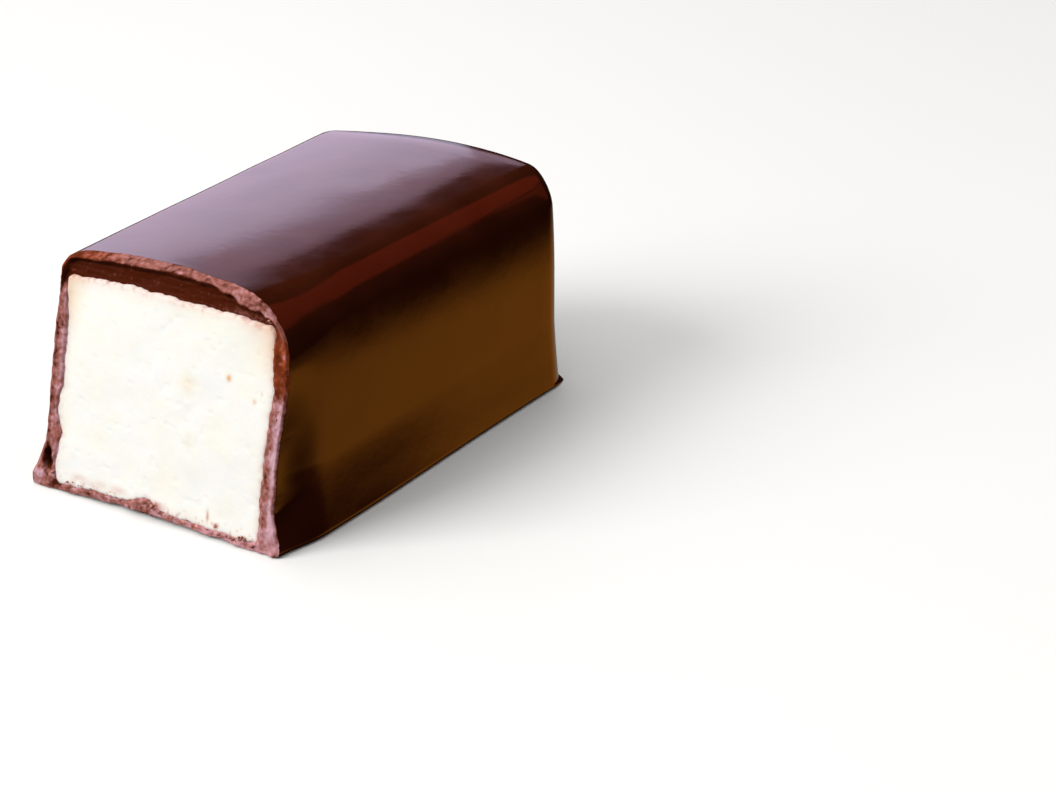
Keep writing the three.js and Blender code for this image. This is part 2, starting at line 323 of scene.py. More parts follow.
def room_form(points):
    """Bends a point of the filling's room, whose line at the cut is ragged."""
    x, y, z, along = lean(points, ROOM_TAPER, ROOM_CROWN)
    near_cut = np.clip(1 - y / 4, 0, 1)
    place, width, height = BUMP
    bump = height * hump((x - place) / width) * (1 - smooth(1.2, 3, z))
    flat = np.stack([x, 0 * y, z], 1)
    uneven = rough(flat, 1.3, 11, 4)
    sunk = 0.3 * (1 - smooth(-10.5, -6.5, x)) + 0.2 * smooth(-1, 7, x)
    sunk = sunk * (1 - smooth(1.2, 3, z)) + 0.2 * smooth(14, 16, z) * hump((x - 1.8) / 4)
    z = z + near_cut * (RAGGED * (0.8 * ripple(x, 1) + 1.1 * uneven) + bump - sunk)
    x = x + near_cut * RAGGED * (0.8 * ripple(z, 4) + 1.1 * rough(flat, 1.3, 17, 4))
    thicker = 0.3 * smooth(7.5, 8.5, z) * (1 - 0.8 * smooth(14, 16, z)) + 0.3 * hump((z - 4.6) / 0.9)
    thinner = 0.2 * hump((z - 6.3) / 0.7) + 0.2 * hump((z - 2) / 0.8)
    x = x + near_cut * (thicker - thinner) * (1 - smooth(-8, -5, x))
    x = x + near_cut * (0.3 * hump((z - 12.2) / 2) - 0.15 * hump((z - 4) / 3)) * smooth(5, 8, x)
    x = x - ROOM_LEAN * np.clip(x / ROOM[1], 0, 1) * (1 - np.clip(z / 15, 0, 1))
    return settle(x, y, z, along)


def pour_waves(points, amount):
    """Moves the poured surface in and out by slow waves, and leaves the base flat."""
    x, y, z = points.T
    middle = SHOULDER / 2
    out = np.stack([(x / RIGHT) ** 5, np.clip(y / LENGTH, 0, 1.05) ** 11, ((z - middle) / middle) ** 5], 1)
    out /= np.linalg.norm(out, axis=1)[:, None] + 1e-6
    calm = smooth(0.3, 3, z) * (1 - 0.5 * smooth(8, 11, x))
    height = rough(points, (7, 11, 6), 23, 2) + 0.3 * relief(points, (3.5, 4, 3), 29)
    return points + out * (amount * calm * height)[:, None]


def edge_chips(points):
    """How far the outer edge at the cut is chipped back, most near the right corner."""
    x, _, z = points.T
    thick = 0.5 + 0.5 * smooth(0, 8, x) * smooth(14, 17, z)
    return EDGE_CHIPS * thick * np.clip(rough(points, 0.7, 31) + 0.3, 0, 1)


def lip_share(points):
    """Width of the lip along the top of the cut, as a share of the coat's thickness."""
    x = points[:, 0]
    share = 0.165 - 0.04 * smooth(-6, 0, x) + 0.37 * smooth(3.2, 8, x) - 0.25 * smooth(8.8, 9.8, x)
    return share * (1 + 0.3 * rough(points, (0.8, 9, 9), 37))


def fracture(points, t):
    """How far the broken chocolate lies behind the cut's plane, t from the outer edge to the filling."""
    x, _, z = points.T
    top = smooth(15.6, 17.4, z)
    lip = lip_share(points)
    rounding = EDGE_ROUNDING * (1 - smooth(0, 0.06 + 0.1 * (1 - top), t))
    across = smooth(-10, -8.6, x) * (1 - 0.35 * smooth(0.5, 3.5, x) - 0.55 * smooth(5.3, 7.8, x))
    bevel = BEVEL * top * across * np.clip(1 - t / np.maximum(lip, 0.13), 0, 1)
    hollow = HOLLOW_DEPTH * top * smooth(lip, lip + 0.25, t)
    pit = PIT_DEPTH * np.clip(1.3 * spot(x - 0.1 * ripple(z, 3), z, *PIT) - 0.15, 0, 1)
    streaks = 0.1 * top * rough(points, (1.8, 1, 0.22), 41)
    crumbly = 1 - 0.5 * top + 0.5 * (1 - smooth(1, 2, z))
    lumps = 0.14 * crumbly * rough(points, 0.9, 43, 4)
    grit = 0.05 * rough(points, 0.3, 47, 2)
    inner = (0.14 + 0.08 * (x < 0)) * (1 - top) * smooth(0.8, 1, t)
    return rounding + bevel + hollow + pit + streaks + lumps + grit + inner - 0.16


def snap_tones(points, t):
    """How pale and how amber the broken chocolate is, from 0 to 1 each; both carry painted light as well as
    its own tones.
    """
    x, _, z = points.T
    top = smooth(15.9, 17.3, z)
    low = 1 - smooth(1.0, 2.0, z)
    lip = lip_share(points)
    mottle = rough(points, (0.6, 0.6, 0.9), 53)
    fine = rough(points, 0.26, 57, 2)
    # The side walls: paler in the middle, partly for their grains and partly for a painted sheen
    left = 0.58 - 0.2 * hump((t - 0.28) / 0.15) + 0.2 * smooth(0.6, 1, t) + 0.25 * mottle + 0.3 * fine
    right = 0.5 + 0.4 * hump((t - 0.27) / 0.19)
    right = right + (0.1 - right) * smooth(11.3, 12.8, z)
    right = smooth(0.0, 0.08, t) * right + 0.25 * mottle + 0.35 * fine
    wall = np.where(x < 0, left, right)
    base = 0.53 + 0.32 * smooth(-3, 7, x) + 0.25 * mottle + 0.5 * fine
    # The band under the lip: dark for painted shade under the overhang, lighter towards the filling on the
    # right; its streaks are its own
    band = 0.02 + 0.12 * np.clip(rough(points, (1.5, 1, 0.15), 59), 0, 1) * (0.5 + t)
    band = band + 0.12 * smooth(2, 7, x) * smooth(0.7, 0.9, t)
    # The lip: paler, partly its own colour and partly a painted highlight on its edge
    edge = 0.43 * smooth(-10.5, -5, x) + 0.3 * mottle + 0.35 * fine
    on_lip = top * (1 - smooth(0.8 * lip, 1.15 * lip, t))
    pale = wall * (1 - low) + base * low
    pale = pale * (1 - top) + band * top
    pale = pale * (1 - on_lip) + edge * on_lip
    # Spots: dark mottles, and pale ones of which some are painted glints
    for *place, more in WALL_SPOTS:
        pale = pale + more * spot(x, z, *place)
    # Painted shade in the pit
    pale = pale - 1.5 * spot(x, z, *PIT)
    amber = np.zeros(len(x))
    for place in AMBER_SHARDS:
        amber = np.maximum(amber, spot(x, z, *place))
    # A painted glow of light through thin chocolate at the shards and the right wall's top; on the lip's
    # left end and along the base, a red-brown tint
    wide_amber = 0.4 * smooth(11.8, 13, z) * smooth(8.5, 10, x) * (1 - smooth(16.5, 17.3, z))
    wide_amber = wide_amber + 0.4 * on_lip * (1 - smooth(-7, -4, x))
    amber = np.maximum(amber, wide_amber) * (0.8 + 0.8 * mottle) + 0.35 * low * smooth(0, 4, x)
    return np.clip(pale, 0, 1), np.clip(amber, 0, 1)


def coat_surface(settings):
    """Rings of the coat, from the far end to the cut, over the broken edge and into the filling's room."""

    def radii(y):
        share = smooth(0, 9, y)
        return RADIUS_BASE, RADIUS_RIGHT_CUT + (RADIUS_RIGHT - RADIUS_RIGHT_CUT) * share, RADIUS_LEFT

    stations = np.linspace(0, 1, 46) ** 1.7
    box = (-LEFT, RIGHT, 0, SHOULDER)
    outer = block(box, radii, END_EDGES, LENGTH, stations, 12, 10)
    outer = [pour_waves(coat_form(ring), settings.waves / MM) for ring in outer]
    room = block(ROOM, lambda y: ROOM_RADII, ROOM_EDGES, ROOM_LENGTH, np.linspace(0, 1, 7) ** 1.5, 2, 3)
    room = [room_form(ring) for ring in room]
    start = outer[0][:, 2].copy()
    outer[0][:, 2] += RAGGED * (1 - smooth(0.3, 0.9, start)) * np.clip(rough(outer[0], 0.6, 33) + 0.2, 0, 1)
    chips = edge_chips(outer[0])
    shares = np.linspace(0, 1, 34) ** 1.1
    broken = []
    for t in shares:
        ring = outer[0] + (room[0] - outer[0]) * t
        ring[:, 1] += fracture(ring, t) + chips * (1 - smooth(0, 0.2, t))
        broken.append(ring)
    pushed = broken[0][:, 1] - outer[0][:, 1]
    for share, ring in zip(stations[1:], outer[1:]):
        ring[:, 1] += pushed * (1 - smooth(0, 2.2, share * LENGTH))
    rings = [*outer[:0:-1], *broken, *room[1:]]
    first, last = len(outer) - 1, len(outer) - 1 + len(broken)
    marks = []
    for j, ring in enumerate(rings):
        t = shares[j - first] if first <= j < last else 0.5
        pale, amber = snap_tones(ring, t)
        marks.append(np.stack([pale, amber], 1))
    return rings, np.concatenate(marks), (first, last)


def filling_surface(settings):
    """Rings of the filling, from its far end to the middle of its cut face, pitted with fine bubbles."""
    left, right, bottom, top = ROOM
    reach = FILLING_REACH
    box = (left - reach, right + reach, bottom - reach, top + reach)
    body = block(box, lambda y: ROOM_RADII, ROOM_EDGES, ROOM_LENGTH + reach, np.linspace(0, 1, 6), 2, 3)
    body = [room_form(ring) for ring in body]
    edge = body[0]
    middle = edge.mean(axis=0)
    face = []
    shares = 1 - np.linspace(0, 0.985, 84) ** 1.15
    for t in shares:
        ring = middle + (edge - middle) * t
        ring[:, 1] += filling_relief(ring, t, settings) - FILLING_PROUD
        face.append(ring)
    face.append(middle[None] - [[0, FILLING_PROUD, 0]])
    rings = [*body[:0:-1], *face]
    shares = [*np.ones(len(body) - 1), *shares, 0]
    return rings, np.concatenate([stains(ring, t) for ring, t in zip(rings, shares)])


def filling_relief(points, t, settings):
    """How far the filling's cut face lies behind its plane: swells from the knife, and bubbles cut open."""
    swell = 0.08 * rough(points, 3.5, 61, 2)
    pores = settings.pore_depth / MM * smooth(0.35, 0.9, relief(points, 0.6, 67))
    fine = 0.5 * settings.pore_depth / MM * rough(points, 0.7, 71, 2)
    rounded = 0.06 * smooth(0.98, 1, t)
    return swell + pores + fine + rounded


def stains(points, t):
    """How strongly the caramel tint and the cocoa tint show on the filling, from 0 to 1 each; t is 1 along
    its edge. Besides real marks, both carry painted shade.
    """
    x, _, z = points.T
    caramel_and_shade = 0.08 * np.clip(rough(points, 2.4, 73, 2), 0, 1)
    cocoa_and_shade = np.zeros(len(x))
    for *place, strength in CARAMEL_MARKS:
        caramel_and_shade = np.maximum(caramel_and_shade, strength * spot(x, z, *place))
    for *place, strength in COCOA_AND_SHADE_MARKS:
        cocoa_and_shade = np.maximum(cocoa_and_shade, strength * spot(x, z, *place))
    dust = smooth(0.0, 0.7, rough(points, 0.3, 79))
    low = 0.45 * dust * (1 - smooth(0.9, 1.9, z))
    # Along the edge: partly chocolate rubbed on and partly painted shade where the filling meets the coat
    border = np.exp(-33 * (1 - t)) * (0.35 + 0.45 * dust)
    # Warm painted shade in the top corners under the band
    corners = (1 - smooth(-9.8, -7.5, x)) * smooth(11, 16, z) + smooth(6, 9, x) * smooth(12, 16, z)
    caramel_and_shade = caramel_and_shade + 0.42 * corners * np.exp(-5 * (1 - t))
    # Painted shade under the band
    under = 0.06 * smooth(15.6, 17.3, z)
    return np.stack([np.clip(caramel_and_shade, 0, 1), np.clip(cocoa_and_shade + low + border + under, 0, 1)], 1)


# --------------------------------------------------------------------------------------------------
# Meshes
# --------------------------------------------------------------------------------------------------


def frame_shift():
    """From the candy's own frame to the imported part's: they share the middle, far end and base."""
    radii = (RADIUS_BASE, RADIUS_RIGHT, RADIUS_LEFT)
    box = (-LEFT, RIGHT, 0, SHOULDER)
    rings = block(box, lambda y: radii, END_EDGES, LENGTH, np.linspace(0, 1, 30), 6, 2)
    points = np.concatenate([coat_form(ring) for ring in rings])
    low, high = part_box("chocolate_coat")
    middle = (points[:, 0].min() + points[:, 0].max()) / 2
    return np.array([(low.x + high.x) / 2 / MM - middle, high.y / MM - points[:, 1].max(), low.z / MM])


SHIFT = frame_shift()


def new_object(name, points, faces, materials):
    """An object in the scene from points in the candy's own frame."""
    mesh = bpy.data.meshes.new(name)
    mesh.from_pydata(((points + SHIFT) * MM).tolist(), [], faces)
    mesh.shade_smooth()
    for material in materials:
        mesh.materials.append(material)
    piece = bpy.data.objects.new(name, mesh)
    bpy.context.scene.collection.objects.link(piece)
    return piece


def loft(name, rings, materials, second=(0, 0)):
    """One closed skin through the rings, whose first and last are single points.

    The faces from ring second[0] to ring second[1] take the second material.
    """
    starts = np.cumsum([0] + [len(ring) for ring in rings])
    faces, kinds = [], []
    for j in range(len(rings) - 1):
        here, there = starts[j], starts[j + 1]
        count = max(len(rings[j]), len(rings[j + 1]))
        i = np.arange(count)
        following = (i + 1) % count
        if len(rings[j]) == 1:
            corners = [here + 0 * i, there + following, there + i]
        elif len(rings[j + 1]) == 1:
            corners = [here + i, here + following, there + 0 * i]
        else:
            corners = [here + i, here + following, there + following, there + i]
        faces += np.stack(corners, 1).tolist()
        kinds += [int(second[0] <= j < second[1])] * count
    piece = new_object(name, np.concatenate(rings), faces, materials)
    piece.data.polygons.foreach_set("material_index", kinds)
    return piece


def mark(piece, name, values):
    """Stores a value from 0 to 1 at each point, which a material reads."""
    attribute = piece.data.attributes.new(name, "FLOAT", "POINT")
    attribute.data.foreach_set("value", values.astype(np.float32))


# --------------------------------------------------------------------------------------------------
# Materials
# --------------------------------------------------------------------------------------------------


def linear(code):
    """Linear red, green and blue of an sRGB hex colour."""
    values = [int(code[i : i + 2], 16) / 255 for i in (1, 3, 5)]
    return [v / 12.92 if v <= 0.04045 else ((v + 0.055) / 1.055) ** 2.4 for v in values]


def opaque(colour):
    """A colour with the fourth value that a colour socket takes."""
    return (*colour, 1.0)


def per_mm(size):
    """Noise scale for a pattern whose features are about size millimetres wide."""
    return 1 / (size * MM)


def add_node(tree, kind, inputs=None, **settings):
    """Adds a node with its settings and links.

    An input is a value, a socket, or a node whose first socket in use is linked. A Map Range has its value
    at input 0, its range at 1 and 2 and its results at 3 and 4; a colour Mix has its share at 0 and its
    colours at 6 and 7.
    """
    node = tree.nodes.new(kind)
    for key, value in settings.items():
        setattr(node, key, value)
    for key, value in (inputs or {}).items():
        if isinstance(value, bpy.types.Node):
            value = next(socket for socket in value.outputs if socket.enabled)
        if isinstance(value, bpy.types.NodeSocket):
            tree.links.new(value, node.inputs[key])
        else:
            node.inputs[key].default_value = value
    return node


def new_material(name):
    """A material, its node tree, its Principled shader, and the place on the piece that patterns follow."""
    material = bpy.data.materials.new(name)
    material.use_nodes = True
    tree = material.node_tree
    place = add_node(tree, "ShaderNodeTexCoord").outputs["Object"]
    return material, tree, tree.nodes["Principled BSDF"], place


def finish_shader(tree, shader, values, links):
    """Sets the shader's own sockets, and links the ones that vary over the surface."""
    for key, value in values.items():
        shader.inputs[key].default_value = value
    for key, node in links.items():
        tree.links.new(next(socket for socket in node.outputs if socket.enabled), shader.inputs[key])


def poured_chocolate(look):
    """Dark chocolate, poured and set: a satin gloss, faintly clouded, with very shallow orange peel."""
    material, tree, shader, place = new_material("poured_dark_chocolate")
    cloud = add_node(tree, "ShaderNodeTexNoise", {"Vector": place, "Scale": per_mm(5), "Detail": 3.0})
    share = add_node(tree, "ShaderNodeMapRange", {0: cloud, 1: 0.35, 2: 0.65})
    colours = {0: share, 6: opaque(look.poured_colour), 7: opaque(look.clouded_colour)}
    colour = add_node(tree, "ShaderNodeMix", colours, data_type="RGBA")
    patch = add_node(tree, "ShaderNodeTexNoise", {"Vector": place, "Scale": per_mm(3.5), "Detail": 3.0})
    ends = {3: look.roughness - 0.03, 4: look.roughness + 0.04}
    gloss = add_node(tree, "ShaderNodeMapRange", {0: patch, 1: 0.3, 2: 0.7, **ends})
    peel = add_node(tree, "ShaderNodeTexNoise", {"Vector": place, "Scale": per_mm(0.9), "Detail": 2.0})
    bump = add_node(tree, "ShaderNodeBump", {"Height": peel, "Distance": 0.004 * MM})
    links = {"Base Color": colour, "Roughness": gloss, "Normal": bump}
    finish_shader(tree, shader, {"IOR": 1.5}, links)
    return material


def snapped_chocolate(look):
    """Chocolate snapped through: dull and crumbly, with a painted sheen where fine grains catch the light.

    Its grains and grit are drawn several times as coarse as real ones, so that they show.
    """
    material, tree, shader, place = new_material("snapped_chocolate")
    pale = add_node(tree, "ShaderNodeAttribute", attribute_name="pale").outputs["Fac"]
    amber = add_node(tree, "ShaderNodeAttribute", attribute_name="amber").outputs["Fac"]
    grain = add_node(tree, "ShaderNodeTexNoise", {"Vector": place, "Scale": per_mm(0.3), "Detail": 3.0})
    around = add_node(tree, "ShaderNodeMapRange", {0: grain, 1: 0.3, 2: 0.7, 3: -0.12, 4: 0.12})
    share = add_node(tree, "ShaderNodeMath", {0: pale, 1: around}, operation="ADD")
    # The pale share carries a painted sheen where high and painted shade where low; amber carries a painted
    # glow of light through thin chocolate
    darker = add_node(tree, "ShaderNodeMapRange", {0: share, 1: 0.1, 2: 0.5})
    paler = add_node(tree, "ShaderNodeMapRange", {0: share, 1: 0.5, 2: 1.0})
    colour = opaque(look.snapped_colour)
    layers = ((darker, look.crumbly_colour), (paler, look.grain_and_sheen_colour), (amber, look.amber_colour))
    for cover, tint in layers:
        colour = add_node(tree, "ShaderNodeMix", {0: cover, 6: colour, 7: opaque(tint)}, data_type="RGBA")
    gloss = add_node(tree, "ShaderNodeMapRange", {0: grain, 1: 0.3, 2: 0.7, 3: 0.5, 4: 0.8})
    grit = add_node(tree, "ShaderNodeTexNoise", {"Vector": place, "Scale": per_mm(0.17), "Detail": 3.0})
    bump = add_node(tree, "ShaderNodeBump", {"Height": grit, "Distance": 0.03 * MM})
    values = {
        "IOR": 1.5,
        "Specular IOR Level": 0.05,
        "Subsurface Weight": 0.2,
        "Subsurface Radius": (0.9, 0.35, 0.15),
        "Subsurface Scale": 0.3 * MM,
    }
    finish_shader(tree, shader, values, {"Base Color": colour, "Roughness": gloss, "Normal": bump})
    return material


def whipped_souffle(look):
    """Whipped souffle: matt, finely pored, and light passes a little way in. Its caramel and cocoa tints
    also carry painted shade.
    """
    material, tree, shader, place = new_material("whipped_souffle")
    caramel_and_shade = add_node(tree, "ShaderNodeAttribute", attribute_name="caramel_and_shade").outputs["Fac"]
    cocoa_and_shade = add_node(tree, "ShaderNodeAttribute", attribute_name="cocoa_and_shade").outputs["Fac"]
    cloud = add_node(tree, "ShaderNodeTexNoise", {"Vector": place, "Scale": per_mm(4), "Detail": 2.0})
    share = add_node(tree, "ShaderNodeMapRange", {0: cloud, 1: 0.4, 2: 0.7})
    colour = opaque(look.cream_colour)
    layers = ((share, look.warm_colour), (caramel_and_shade, look.caramel_colour), (cocoa_and_shade, look.cocoa_colour))
    for cover, tint in layers:
        colour = add_node(tree, "ShaderNodeMix", {0: cover, 6: colour, 7: opaque(tint)}, data_type="RGBA")
    foam = add_node(tree, "ShaderNodeTexNoise", {"Vector": place, "Scale": per_mm(0.2), "Detail": 3.0})
    bump = add_node(tree, "ShaderNodeBump", {"Height": foam, "Distance": 0.012 * MM})
    values = {
        "Roughness": 0.65,
        "IOR": 1.4,
        "Specular IOR Level": 0.3,
        "Subsurface Weight": 0.7,
        "Subsurface Radius": (1.0, 0.85, 0.7),
        "Subsurface Scale": 0.6 * MM,
    }
    finish_shader(tree, shader, values, {"Base Color": colour, "Normal": bump})
    return material


def crumb_chocolate(look):
    """Crumbs of the snapped coat: dull and dark, with some pale faces, and grit coarse enough to show."""
    material, tree, shader, place = new_material("crumbled_chocolate")
    cloud = add_node(tree, "ShaderNodeTexNoise", {"Vector": place, "Scale": per_mm(0.4), "Detail": 2.0})
    share = add_node(tree, "ShaderNodeMapRange", {0: cloud, 1: 0.35, 2: 0.65})
    colours = {0: share, 6: opaque(look.dark_colour), 7: opaque(look.pale_colour)}
    colour = add_node(tree, "ShaderNodeMix", colours, data_type="RGBA")
    grit = add_node(tree, "ShaderNodeTexNoise", {"Vector": place, "Scale": per_mm(0.12), "Detail": 2.0})
    bump = add_node(tree, "ShaderNodeBump", {"Height": grit, "Distance": 0.01 * MM})
    finish_shader(tree, shader, {"IOR": 1.5, "Roughness": 0.4}, {"Base Color": colour, "Normal": bump})
    return material


def white_laminate(look):
    """White laminate, pressed smooth and matt: an even, pale ground."""
    material, tree, shader, place = new_material("matt_white_laminate")
    cloud = add_node(tree, "ShaderNodeTexNoise", {"Vector": place, "Scale": per_mm(60), "Detail": 2.0})
    dimmer = [0.98 * value for value in look.floor_colour]
    colours = {0: cloud, 6: opaque(look.floor_colour), 7: opaque(dimmer)}
    colour = add_node(tree, "ShaderNodeMix", colours, data_type="RGBA")
    finish_shader(tree, shader, {"Roughness": 0.7}, {"Base Color": colour})
    return material


# --------------------------------------------------------------------------------------------------
# Settings
# --------------------------------------------------------------------------------------------------


def colour_setting(name, description, code):
    """A colour that a user can change, from an sRGB hex value."""
    return FloatVectorProperty(
        name=name, description=description, subtype="COLOR", min=0, max=1, size=3, default=linear(code)
    )


class CandyCoatSettings(bpy.types.PropertyGroup):
    waves: FloatProperty(
        name="Waves",
        description="Height of the slow waves that the poured chocolate set with",
        unit="LENGTH",
        default=POUR_WAVES * MM,
    )
    roughness: FloatProperty(
        name="Roughness",
        description="How dull the poured surface is",
        subtype="FACTOR",
        min=0,
        max=1,
        default=0.11,
    )
    poured_colour: colour_setting("Poured", "Poured chocolate", "#341105")
    clouded_colour: colour_setting("Clouded", "Poured chocolate where it is faintly clouded", "#3f1709")
    snapped_colour: colour_setting("Snapped", "Broken chocolate", "#481703")
    crumbly_colour: colour_setting("Crumbly", "Broken chocolate where it is crumbly", "#9b6159")
    # Grains: their mauve is partly a painted sheen
    grain_and_sheen_colour: colour_setting("Grains", "Fine pale grains of the broken chocolate", "#cda3b0")
    # Amber: partly a painted glow of light through thin chocolate
    amber_colour: colour_setting("Amber", "Thin shards that light shines through", "#a3481f")


class CandyFillingSettings(bpy.types.PropertyGroup):
    pore_depth: FloatProperty(
        name="Pore depth",
        description="Depth of the fine bubbles that the cut opened",
        unit="LENGTH",
        default=0.025 * MM,
    )
    cream_colour: colour_setting("Cream", "Souffle", "#fbfaf5")
    warm_colour: colour_setting("Warm", "Souffle in its faintly yellow patches", "#fbf8ee")
    # Caramel: also the warm painted shade in the top corners
    caramel_colour: colour_setting("Caramel", "Small caramel-coloured marks", "#e0a24e")
    # Cocoa: also the painted shade along the edges and under the band
    cocoa_colour: colour_setting("Cocoa", "Chocolate smeared on the souffle by the knife", "#bb6f66")


class CandyCrumbSettings(bpy.types.PropertyGroup):
    count: IntProperty(name="Crumbs", description="Crumbs along the cut", min=0, max=400, default=70)
    size: FloatProperty(
        name="Crumb size", description="Radius of a middling crumb", unit="LENGTH", default=0.075 * MM
    )
    seed: IntProperty(name="Seed", description="Changes where the crumbs lie", min=0, default=7)
    dark_colour: colour_setting("Dark", "Crumbs", "#8a4f40")
    pale_colour: colour_setting("Pale", "Pale faces of the crumbs", "#b98075")


class CandyStageSettings(bpy.types.PropertyGroup):
    distance: FloatProperty(
        name="Camera distance",
        description="From the camera to the middle of its view on the floor",
        unit="LENGTH",
        default=233.7 * MM,
    )
    key_light: FloatProperty(
        name="Key light", description="Power of the softbox in front of the cut", unit="POWER", default=3.4
    )
    overhead_light: FloatProperty(
        name="Overhead light", description="Power of the softbox above", unit="POWER", default=1.5
    )
    sheen_light: FloatProperty(
        name="Sheen light",
        description="Power of the softboxes that the top reflects",
        unit="POWER",
        default=0.23,
    )
    ridge_light: FloatProperty(
        name="Ridge light",
        description="Power of the dim, warm softbox on the right edge",
        unit="POWER",
        default=0.088,
    )
    side_light: FloatProperty(
        name="Side light",
        description="Power of the softbox that the right wall reflects from beside it",
        unit="POWER",
        default=0.1,
    )
    floor_colour: colour_setting("Floor", "Table top", "#f4f4f3")


class CandySettings(bpy.types.PropertyGroup):
    coat: PointerProperty(type=CandyCoatSettings)
    filling: PointerProperty(type=CandyFillingSettings)
    crumbs: PointerProperty(type=CandyCrumbSettings)
    stage: PointerProperty(type=CandyStageSettings)


# --------------------------------------------------------------------------------------------------
# Crumbs
# --------------------------------------------------------------------------------------------------

CRUMB_SIDES = 8

# Crumbs that show singly: x, z and radius in millimetres
SINGLE_CRUMBS = (
    (7.79, 0.9, 0.2),
    (7.5, 0.82, 0.14),
    (8.02, 0.8, 0.15),
    (8.77, 0.45, 0.16),
    (5.22, 1.09, 0.11),
    (-1.7, 1.25, 0.2),
    (-0.9, 1.15, 0.17),
    (-10.9, 1.45, 0.17),
    (10.35, 10.6, 0.12),
    (10.45, 11.25, 0.1),
    (9.2, 17.75, 0.12),
)


def crumb(middle, radius, seed):
    """Points and faces of one closed crumb: a ball of 8 by 4 facets, squashed and knocked about."""
    random = np.random.default_rng(seed)
    sides = CRUMB_SIDES
    around = np.arange(sides) * TAU / sides
    rings = [np.array([[0, 0, -1.0]])]
    for tilt in (-0.7, 0.0, 0.7):
        turn = around + random.uniform(-0.2, 0.2, sides)
        level, height = math.cos(tilt), np.full(sides, math.sin(tilt))
        rings.append(np.stack([level * np.cos(turn), level * np.sin(turn), height], 1))
    points = np.concatenate([*rings, [[0, 0, 1.0]]])
    points *= random.uniform(0.7, 1.15, (len(points), 1)) * random.uniform(0.6, 1.3, 3)
    spin, _ = np.linalg.qr(random.normal(size=(3, 3)))
    points = middle + radius * points @ (spin * np.sign(np.linalg.det(spin)))
    faces = []
    top = len(points) - 1
    for i in range(sides):
        n = (i + 1) % sides
        faces += [(0, 1 + n, 1 + i), (top, top - sides + i, top - sides + n)]
        faces += [(a + i, a + n, a + sides + n, a + sides + i) for a in (1, 1 + sides)]
    return points, faces


def cut_place(x, z, behind):
    """A place that far behind the plane of the cut."""
    return np.array([x, behind - CUT_LEAN * (1 - z / LEAN_HEIGHT), z])


def crumb_surface(settings):
    """Points and faces of all the crumbs, most of them along the lower edge of the filling."""
    random = np.random.default_rng(settings.seed)
    middling = settings.size / MM
    spots = list(SINGLE_CRUMBS)
    for _ in range(settings.count):
        radius = middling * random.lognormal(0, 0.35)
        side = random.uniform()
        # Most lie along the lower edge, and the others up the left and the right one
        if side < 0.8:
            x = random.uniform(-9.8, 9.2)
            z = 0.72 - 0.02 * x + random.normal(0, 0.1)
        elif side < 0.9:
            x, z = random.normal(-10.2, 0.15), random.uniform(1.5, 16)
        else:
            x, z = random.normal(9.5, 0.15), random.uniform(1, 16)
        spots.append((x, max(z, 0.4), radius))
    points, faces = [], []
    for k, (x, z, radius) in enumerate(spots):
        own, corners = crumb(cut_place(x, z, -0.12 - 0.2 * radius), radius, settings.seed + k)
        start = len(own) * k
        points.append(own)
        faces += [tuple(start + corner for corner in face) for face in corners]
    return np.concatenate(points), faces


# --------------------------------------------------------------------------------------------------
# Stage
# --------------------------------------------------------------------------------------------------

CAMERA_AIM = (11.77, 14.64, 0.0)  # middle of the view on the floor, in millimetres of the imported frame
CAMERA_AZIMUTH = 33.04  # degrees round from the cut, towards the right wall
CAMERA_ELEVATION = 24.0
CAMERA_LENS = 95.45  # millimetres
CAMERA_SENSOR = 36.0  # its width in millimetres
FLOOR_SIZE = 6.0  # metres
LIGHTS_FACE = 9.0  # height of the point that the softboxes face, in millimetres
LARGE_SHARE = 0.58  # of the sheen light, in the larger of its two softboxes
CORNER_SHARE = 0.27  # light on the far corner, as a share of the ridge light


def direction(azimuth, elevation):
    """The way from the candy to a place round it; azimuth 0 is in front of the cut, and 90 to its right."""
    around, up = math.radians(azimuth), math.radians(elevation)
    return Vector((math.sin(around) * math.cos(up), -math.cos(around) * math.cos(up), math.sin(up)))


def build_floor(look):
    """The table top that the candy stands on."""
    half = FLOOR_SIZE / 2
    mesh = bpy.data.meshes.new("floor")
    corners = [(-half, -half, 0), (half, -half, 0), (half, half, 0), (-half, half, 0)]
    mesh.from_pydata(corners, [], [(0, 1, 2, 3)])
    mesh.materials.append(white_laminate(look))
    floor = bpy.data.objects.new("floor", mesh)
    bpy.context.scene.collection.objects.link(floor)
    # The table is left out of the candy's reflections and throws no light back on it
    floor.visible_glossy = False
    floor.visible_diffuse = False


def build_softbox(name, place, size, power, colour, turn=0.0, diffuse=True):
    """A rectangular light that faces the candy, place being its azimuth, elevation and distance.

    Its size is in metres. Without diffuse it shows only where the candy reflects it.
    """
    light = bpy.data.lights.new(name, "AREA")
    light.shape = "RECTANGLE"
    light.size, light.size_y = size
    light.energy = power
    light.color = linear(colour)
    box = bpy.data.objects.new(name, light)
    bpy.context.scene.collection.objects.link(box)
    azimuth, elevation, distance = place
    way = direction(azimuth, elevation)
    box.location = Vector((0, 0, LIGHTS_FACE * MM)) + way * distance
    box.rotation_mode = "QUATERNION"
    box.rotation_quaternion = way.to_track_quat("Z", "Y") @ Quaternion((0, 0, 1), math.radians(turn))
    box.visible_diffuse = diffuse


